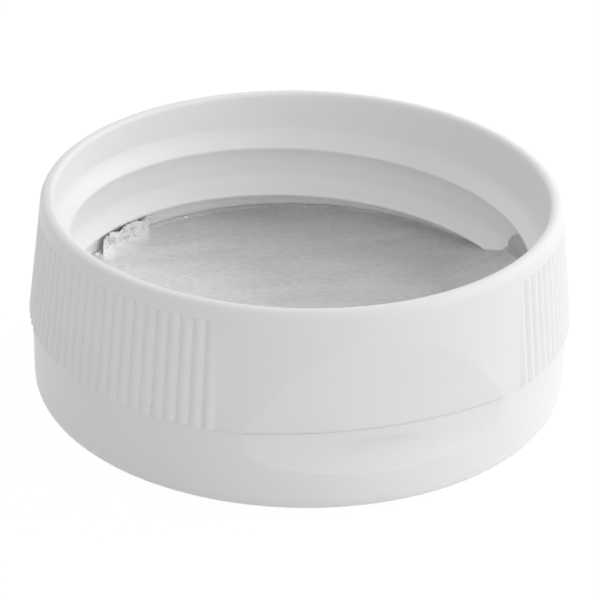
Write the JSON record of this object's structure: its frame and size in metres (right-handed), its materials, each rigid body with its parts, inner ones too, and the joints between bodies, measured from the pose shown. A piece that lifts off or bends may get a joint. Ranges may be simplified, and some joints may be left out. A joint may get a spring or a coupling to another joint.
{
  "type": "flip-top closure",
  "caption": "Round flip-top closure for a wide-mouth bottle, resting on its lid, with an internal thread, a foil seal liner, grip ribs, a thumb scoop and a film hinge.",
  "frame": {"origin": "centre of the lid's outer face, on which the closure rests", "axes": "+Z out of the closure's mouth along its axis, -Y towards the thumb scoop, +Y towards the film hinge"},
  "size_m": [0.042, 0.0422, 0.0162],
  "materials": {
    "polypropylene": "fine satin white polypropylene",
    "foil_liner": "brushed, slightly curled aluminium foil on a thin card backing"
  },
  "bodies": {
    "base_body": {"closure_base": "polypropylene", "seal_liner": "foil_liner", "living_hinge": "polypropylene"},
    "lid_body": {"flip_lid": "polypropylene"}
  },
  "joints": [
    {"name": "lid_hinge", "type": "hinge", "parent": "base_body", "child": "lid_body", "pos_m": [0, 0.0215, 0.00664], "axis": [1, 0, 0], "range_deg": [0, 180], "deforming": ["living_hinge"]}
  ]
}
